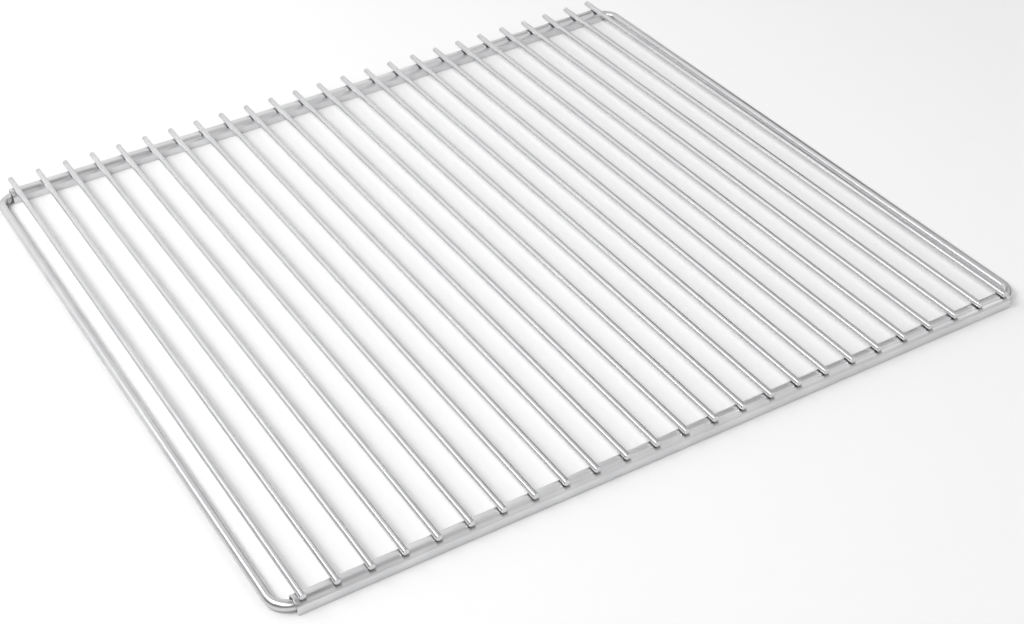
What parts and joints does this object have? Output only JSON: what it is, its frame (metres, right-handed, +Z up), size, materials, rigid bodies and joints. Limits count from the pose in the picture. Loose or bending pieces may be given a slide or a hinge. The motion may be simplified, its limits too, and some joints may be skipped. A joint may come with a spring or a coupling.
{
  "type": "wire rack",
  "caption": "Flat welded wire rack: parallel round bars across folded sheet channels, with a closed ring of thicker rod whose side runs slide on ledges.",
  "frame": {"origin": "middle of the rectangle that the rack covers, on the flat that it stands on", "axes": "+X along the channels, +Y along the bars from the front channel to the overhanging back ends, +Z up out of the bars"},
  "size_m": [0.5132, 0.4824, 0.0122],
  "materials": {
    "bar_steel": "bright polished stainless steel rod, fine lengthways drawing lines",
    "channel_sheet": "bright satin stainless steel sheet, grain along the channel",
    "ring_rod": "bright polished stainless steel rod",
    "weld_bead": "dull cleaned weld metal"
  },
  "bodies": {
    "root": {"front_channel": "channel_sheet", "back_channel": "channel_sheet", "ring_frame": "ring_rod", "front_tack_welds": "weld_bead", "back_tack_welds": "weld_bead", "bar_01": "bar_steel", "bar_02": "bar_steel", "bar_03": "bar_steel", "bar_04": "bar_steel", "bar_05": "bar_steel", "bar_06": "bar_steel", "bar_07": "bar_steel", "bar_08": "bar_steel", "bar_09": "bar_steel", "bar_10": "bar_steel", "bar_11": "bar_steel", "bar_12": "bar_steel", "bar_13": "bar_steel", "bar_14": "bar_steel", "bar_15": "bar_steel", "bar_16": "bar_steel", "bar_17": "bar_steel", "bar_18": "bar_steel", "bar_19": "bar_steel", "bar_20": "bar_steel", "bar_21": "bar_steel", "bar_22": "bar_steel", "bar_23": "bar_steel", "bar_24": "bar_steel", "bar_25": "bar_steel"}
  },
  "joints": []
}
